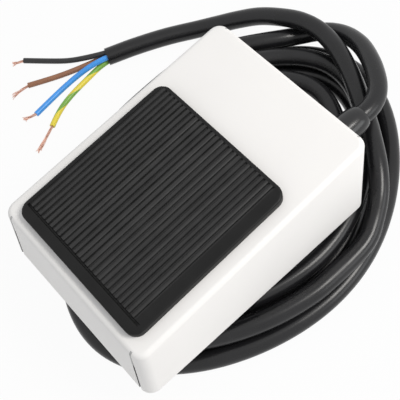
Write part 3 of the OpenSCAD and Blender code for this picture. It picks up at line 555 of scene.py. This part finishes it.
def cover():
    """Folded sheet with slots at its corners and a notch for the strain relief."""
    seam_mid = BODY_W / 2 - SEAM_IN
    seam_low, seam_high = seam_mid - SEAM_W / 2, seam_mid + SEAM_W / 2
    columns = outline_columns(seam_low, seam_high)
    count = len(columns)
    top_way = Vector((0, -math.sin(TILT), math.cos(TILT)))

    def edge_centre(cx, cy, n):
        """Centre of the top edge's bend in a column of the outline."""
        c = Vector((cx, cy, 0)) + (BEND_R - EDGE_R) * n
        c.z = top_z(c.y) - EDGE_R / math.cos(TILT)
        return c

    def shell(bm, r):
        """Columns of vertices of the sheet's outer or inner side."""
        grid = []
        for cx, cy, nx, ny in columns:
            n = Vector((nx, ny, 0))
            centre = edge_centre(cx, cy, n)
            arch = SEAM_TOP - ROW_DROP
            if ny == 1 and abs(cx - CORD_X) <= NOTCH_R + SAME:
                arch = CORD_Z + math.sqrt(max(0, NOTCH_R ** 2 - (cx - CORD_X) ** 2))
            levels = [SKIRT, CORD_Z, arch, SEAM_TOP]
            column = [Vector((cx, cy, z)) + r * n for z in levels]
            bend = math.acos(n.dot(top_way))
            for i in range(BEND_STEPS + 1):
                t = i / BEND_STEPS
                way = n * math.sin((1 - t) * bend) + top_way * math.sin(t * bend)
                column.append(centre + (r - BEND_R + EDGE_R) * way / math.sin(bend))
            grid.append([bm.verts.new(at(leaned(v))) for v in column])
        return grid

    def in_seam(i):
        """True if column i and the next bound a seam."""
        (x1, y1, nx1, ny1), (x2, y2, nx2, ny2) = columns[i], columns[(i + 1) % count]
        low, high = sorted((abs(x1 + BEND_R * nx1), abs(x2 + BEND_R * nx2)))
        return (y1 == y2 and min(abs(ny1), abs(ny2)) > FACING
                and low > seam_low - NEAR and high < seam_high + NEAR)

    def in_notch(i, row):
        """True where the cell above column i is cut away round the strain relief."""
        (x1, _, _, ny1), (x2, _, _, ny2) = columns[i], columns[(i + 1) % count]
        return row < 2 and ny1 == ny2 == 1 and abs((x1 + x2) / 2 - CORD_X) < NOTCH_R

    def beside_slot(column, rows_of):
        """True for an edge of the sheet along a seam's slot."""
        x = abs(columns[column][0] + BEND_R * columns[column][2])
        near = seam_low - SLOT_SLACK < x < seam_high + SLOT_SLACK
        return near and 0 < max(rows_of) <= SLOT_ROWS

    bm = bmesh.new()
    outer, inner = shell(bm, BEND_R), shell(bm, BEND_R - SHEET)
    rows = len(outer[0])
    edges = {}
    for i in range(count):
        n = (i + 1) % count
        for row in range(rows - 1):
            if row < SLOT_ROWS and in_seam(i) or in_notch(i, row):
                continue
            cell = [(i, row), (n, row), (n, row + 1), (i, row + 1)]
            face = bm.faces.new([outer[a][b] for a, b in cell])
            # the closed part of a seam gets the grey line of painted shade
            if SLOT_ROWS <= row < SLOT_ROWS + CLOSED_ROWS and in_seam(i):
                face.material_index = GAP_SHADE_LINE
            bm.faces.new([inner[a][b] for a, b in cell][::-1])
            for a, b in zip(cell, cell[1:] + cell[:1]):
                key = (min(a, b), max(a, b))
                edges[key] = edges.get(key, 0) + 1
    # close the sheet's cut edges, but not where the top joins
    for (a, b), used in edges.items():
        if used == 1 and not (a[1] == rows - 1 and b[1] == rows - 1):
            side = bm.faces.new((outer[a[0]][a[1]], outer[b[0]][b[1]],
                                 inner[b[0]][b[1]], inner[a[0]][a[1]]))
            # the slots' side walls get the dark grey of painted shade
            if beside_slot(a[0], (a[1], b[1])):
                side.material_index = SLOT_SHADE
    bmesh.ops.remove_doubles(bm, verts=bm.verts, dist=WELD)
    # the top's upper and lower faces, on the vertices that end the bend
    for r in (EDGE_R, EDGE_R - SHEET):
        flat = []
        for cx, cy, nx, ny in columns:
            p = at(leaned(edge_centre(cx, cy, Vector((nx, ny, 0))) + r * top_way))
            near = min(bm.verts, key=lambda v: (v.co - p).length_squared)
            if not flat or (near is not flat[-1] and near is not flat[0]):
                flat.append(near)
        bm.faces.new(flat)
    obj = made("cover_shell", bm, "pedal", ("pedal_cover",),
               [MATS["cover_paint"], painted_slot_shade, painted_gap_shade])
    soften(obj, EDGE_ROUND)


def soften(obj, width):
    """Small rounding of an object's hard edges, width in millimetres."""
    mod = obj.modifiers.new("edge", "BEVEL")
    mod.width = width * MM
    mod.segments = 2
    mod.limit_method = "ANGLE"
    mod.angle_limit = math.radians(40)
    mod.use_clamp_overlap = True
    mod.harden_normals = True


cover()


# Ribbed mat on the slope
CROWN, RAMP, LIP, FADE = 0.2, 0.2, 0.55, 0.9
SEEN_DEEP = 0.75
RIBBED_X = (BORDER_THIN, MAT_W - BORDER_RIGHT)
RIBBED_Y = (BORDER_FRONT, MAT_L - BORDER_THIN)
RIBS = math.floor((RIBBED_X[1] - RIBBED_X[0] - GROOVE_W) / RIB_PITCH) + 1
LAST_GROOVE = RIBBED_X[0] + (RIBS - 1) * RIB_PITCH + GROOVE_W
# Lines of the mat's net, inwards from its edges
LEFT_LINES = (0, 0.08, 0.25, 0.5, 0.85, 1.1)
RIGHT_LINES = (2.2, 1.5, 0.85, 0.5, 0.25, 0.08, 0)
FRONT_LINES = (0, 0.08, 0.25, 0.5, 0.9, 1.5, 2.2, 3)
BACK_LINES = (0.9, 0.5, 0.25, 0.08, 0)
RIB_END_LINES = (1.6, 1, 0.5)
RIB_ROWS, RIB_START, RIB_SHOULDER, NET_SLACK = 14, 0.4, 0.22, 0.01
MAT_SHARP = math.radians(60)


def ramped(d):
    """0 at a groove's edge, 1 once it is a ramp deep inside."""
    return ease(d / RAMP)


def mat_height(x, y):
    """Height of the mat's upper side over its lower one."""
    dx, dy = min(x, MAT_W - x), min(y, MAT_L - y)
    if dx < MAT_R and dy < MAT_R:
        inside = MAT_R - math.hypot(MAT_R - dx, MAT_R - dy)
    else:
        inside = min(dx, dy)
    inside = max(inside, 0)
    z = MAT_T
    if inside < LIP:
        z -= LIP - math.sqrt(max(0, LIP ** 2 - (LIP - inside) ** 2))
    depth = 0
    if RIBBED_X[0] < x < RIBBED_X[1] and RIBBED_Y[0] < y < RIBBED_Y[1]:
        u = (x - RIBBED_X[0]) % RIB_PITCH
        end = min(y - RIBBED_Y[0], RIBBED_Y[1] - y)
        if u < GROOVE_W and x < LAST_GROOVE:
            depth = SEEN_DEEP * ramped(min(u, GROOVE_W - u)) * ramped(end)
        # the groove along the front border
        cross = min(y - RIBBED_Y[0], RIBBED_Y[0] + GROOVE_W - y, x - RIBBED_X[0], RIBBED_X[1] - x)
        depth = max(depth, GROOVE_D * ramped(cross) if cross > 0 else 0)
        # ribs are a little rounded across
        if u >= GROOVE_W and depth == 0:
            v = (u - GROOVE_W) / (RIB_PITCH - GROOVE_W)
            depth = CROWN * (2 * v - 1) ** 2
    return z - depth * ease(inside / FADE)


def on_slope(x, y, z):
    """Point of the mat, from its front left corner, laid on the cover."""
    up, lift = y + MAT_FRONT, z + GAP
    return at((x - MAT_W / 2, -BODY_L / 2 + up * math.cos(TILT) - lift * math.sin(TILT),
               FRONT_H + up * math.sin(TILT) + lift * math.cos(TILT)))


def mat_pad():
    """Moulded mat with a rounded edge and grooves along the pedal."""
    xs = list(LEFT_LINES)
    for i in range(RIBS):
        x = RIBBED_X[0] + i * RIB_PITCH
        xs += [x, x + RAMP / 2, x + RAMP, x + GROOVE_W - RAMP, x + GROOVE_W - RAMP / 2,
               x + GROOVE_W, x + GROOVE_W + RIB_SHOULDER, x + (RIB_PITCH + GROOVE_W) / 2,
               x + RIB_PITCH - RIB_SHOULDER]
    xs = [x for x in xs if x < MAT_W - BORDER_RIGHT + NET_SLACK]
    xs += [MAT_W - d for d in RIGHT_LINES]
    front, far = BORDER_FRONT + GROOVE_W, MAT_L - BORDER_THIN
    ys = list(FRONT_LINES)
    ys += [BORDER_FRONT, BORDER_FRONT + RAMP / 2, BORDER_FRONT + RAMP, front - RAMP,
           front - RAMP / 2, front, front + RIB_START]
    ys += [front + RIB_START + (far - front - 3) * i / RIB_ROWS for i in range(1, RIB_ROWS + 1)]
    ys += [far - d for d in RIB_END_LINES] + [far - RAMP, far - RAMP / 2, far]
    ys += [MAT_L - d for d in BACK_LINES]

    bm = bmesh.new()
    grid, low = [], []
    for x in xs:
        dx = min(x, MAT_W - x)
        cut = MAT_R - math.sqrt(MAT_R ** 2 - (MAT_R - dx) ** 2) if dx < MAT_R else 0
        spots = [min(max(y, cut), MAT_L - cut) for y in ys]
        grid.append([bm.verts.new(on_slope(x, y, mat_height(x, y))) for y in spots])
        low.append([bm.verts.new(on_slope(x, y, 0)) for y in spots])
    nx, ny = len(xs), len(ys)
    for i in range(nx - 1):
        ribbed = RIBBED_X[0] < (xs[i] + xs[i + 1]) / 2 < LAST_GROOVE + NET_SLACK
        for j in range(ny - 1):
            face = bm.faces.new((grid[i][j], grid[i + 1][j], grid[i + 1][j + 1], grid[i][j + 1]))
            between = ys[j] > front - NET_SLACK and ys[j + 1] < RIBBED_Y[1] + NET_SLACK
            face.material_index = 0 if ribbed and between else 1
    edge = [(i, 0) for i in range(nx)] + [(nx - 1, j) for j in range(1, ny)]
    edge += [(i, ny - 1) for i in range(nx - 2, -1, -1)] + [(0, j) for j in range(ny - 2, 0, -1)]
    for (a, b), (c, d) in zip(edge, edge[1:] + edge[:1]):
        bm.faces.new((grid[a][b], low[a][b], low[c][d], grid[c][d])).material_index = 1
    bm.faces.new([low[a][b] for a, b in edge][::-1]).material_index = 1
    used = {low[a][b] for a, b in edge}
    spare = [v for column in low for v in column if v not in used]
    bmesh.ops.delete(bm, geom=spare, context="VERTS")
    made("ribbed_mat", bm, "pedal", ("tread_mat",),
         [MATS["mat_rubber"], mat_smooth], sharp=MAT_SHARP)


mat_pad()


# Floor, backdrop and light
def seen_white(tree, surface, share):
    """Mixes plain white into what the camera, mirrors and glass see of a surface."""
    nodes, links = tree.nodes, tree.links
    path = nodes.new("ShaderNodeLightPath")
    total = path.outputs["Is Camera Ray"]
    for ray in ("Is Glossy Ray", "Is Transmission Ray"):
        add = nodes.new("ShaderNodeMath")
        add.operation = "MAXIMUM"
        links.new(total, add.inputs[0])
        links.new(path.outputs[ray], add.inputs[1])
        total = add.outputs[0]
    scale = nodes.new("ShaderNodeMath")
    scale.operation = "MULTIPLY"
    scale.inputs[1].default_value = share
    links.new(total, scale.inputs[0])
    white = nodes.new("ShaderNodeEmission")
    white.inputs["Strength"].default_value = 1
    mix = nodes.new("ShaderNodeMixShader")
    links.new(scale.outputs[0], mix.inputs[0])
    links.new(surface, mix.inputs[1])
    links.new(white.outputs[0], mix.inputs[2])
    return mix.outputs[0]


FLOOR_HALF, FLOOR_CELLS, FLOOR_WHITE = 3, 8, 0.95
bm = bmesh.new()
bmesh.ops.create_grid(bm, x_segments=FLOOR_CELLS, y_segments=FLOOR_CELLS, size=FLOOR_HALF)
floor_mesh = bpy.data.meshes.new("floor")
bm.to_mesh(floor_mesh)
bm.free()
floor = link(bpy.data.objects.new("floor", floor_mesh))
floor.location.z = at((0, 0, FLOOR)).z
paper = bpy.data.materials.new("paper")
paper.use_nodes = True
matt = paper.node_tree.nodes["Principled BSDF"]
matt.inputs["Base Color"].default_value = (0.68, 0.68, 0.68, 1)
matt.inputs["Roughness"].default_value = 0.9
matt.inputs["Specular IOR Level"].default_value = 0.1
paper_out = paper.node_tree.nodes["Material Output"]
paper.node_tree.links.new(seen_white(paper.node_tree, matt.outputs[0], FLOOR_WHITE),
                          paper_out.inputs["Surface"])
floor_mesh.materials.append(paper)

AMBIENT = 0.64
world = bpy.data.worlds.new("studio")
world.use_nodes = True
bpy.context.scene.world = world
sky = world.node_tree.nodes["Background"]
sky.inputs["Color"].default_value = (0.96, 0.975, 1, 1)
sky.inputs["Strength"].default_value = AMBIENT
sky_out = world.node_tree.nodes["World Output"]
world.node_tree.links.new(seen_white(world.node_tree, sky.outputs[0], 1),
                          sky_out.inputs["Surface"])

LAMP_AIM = (0, 20, 10)


def lamp(name, place, size, power, tint):
    """Soft box that faces the switch. Its size is in metres, its power in watts."""
    data = bpy.data.lights.new(name, "AREA")
    data.shape = "RECTANGLE"
    data.size, data.size_y = size
    data.energy = power
    data.color = tint
    obj = link(bpy.data.objects.new(name, data))
    obj.location = at(place)
    obj.rotation_mode = "QUATERNION"
    obj.rotation_quaternion = (at(LAMP_AIM) - at(place)).to_track_quat("-Z", "Y")


lamp("key", (420, 350, 760), (0.3, 0.3), 4.2, (1, 0.975, 0.94))
lamp("fill", (680, 420, 260), (0.5, 0.35), 1.1, (0.97, 0.985, 1))

bpy.context.scene.view_settings.view_transform = "Standard"
